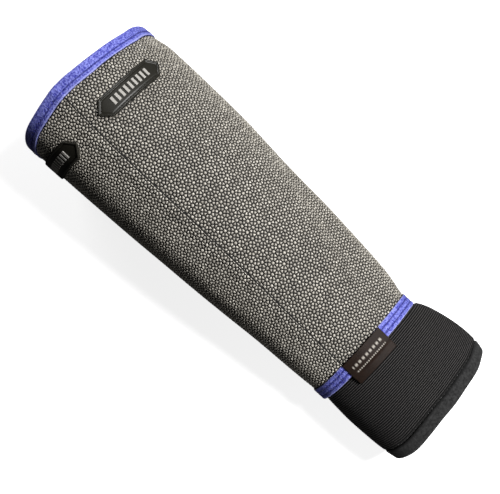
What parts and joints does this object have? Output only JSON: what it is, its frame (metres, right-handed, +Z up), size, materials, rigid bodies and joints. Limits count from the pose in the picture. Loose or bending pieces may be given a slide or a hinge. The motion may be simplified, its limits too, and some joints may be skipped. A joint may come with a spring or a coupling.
{
  "type": "cut resistant sleeve",
  "caption": "Tapered forearm guard tube of plated fabric with bound elbow edge, lapped seam, taped wrist, ribbed elastic cuff, moulded patches and a woven label.",
  "frame": {"origin": "middle of the underside of the whole sleeve's bounding box, on the floor it lies on", "axes": "+X along the sleeve from the elbow mouth to the hand end, +Y across it, +Z up"},
  "size_m": [0.3424, 0.1212, 0.1005],
  "materials": {
    "guard_fabric": "dark cloth covered with small hard grey plates",
    "blue_tape": "blue woven binding tape",
    "ribbed_knit": "black ribbed elastic knit",
    "plain_knit": "black plain knit",
    "moulded_rubber": "satin moulded rubber",
    "label_satin": "dark brown woven satin"
  },
  "bodies": {
    "root": {"guard_sleeve": "guard_fabric", "top_binding": "blue_tape", "wrist_band": "blue_tape", "cuff": "ribbed_knit", "cuff_hem": "plain_knit", "front_patch": "moulded_rubber", "side_patch": "moulded_rubber", "woven_label": "label_satin"}
  },
  "joints": []
}
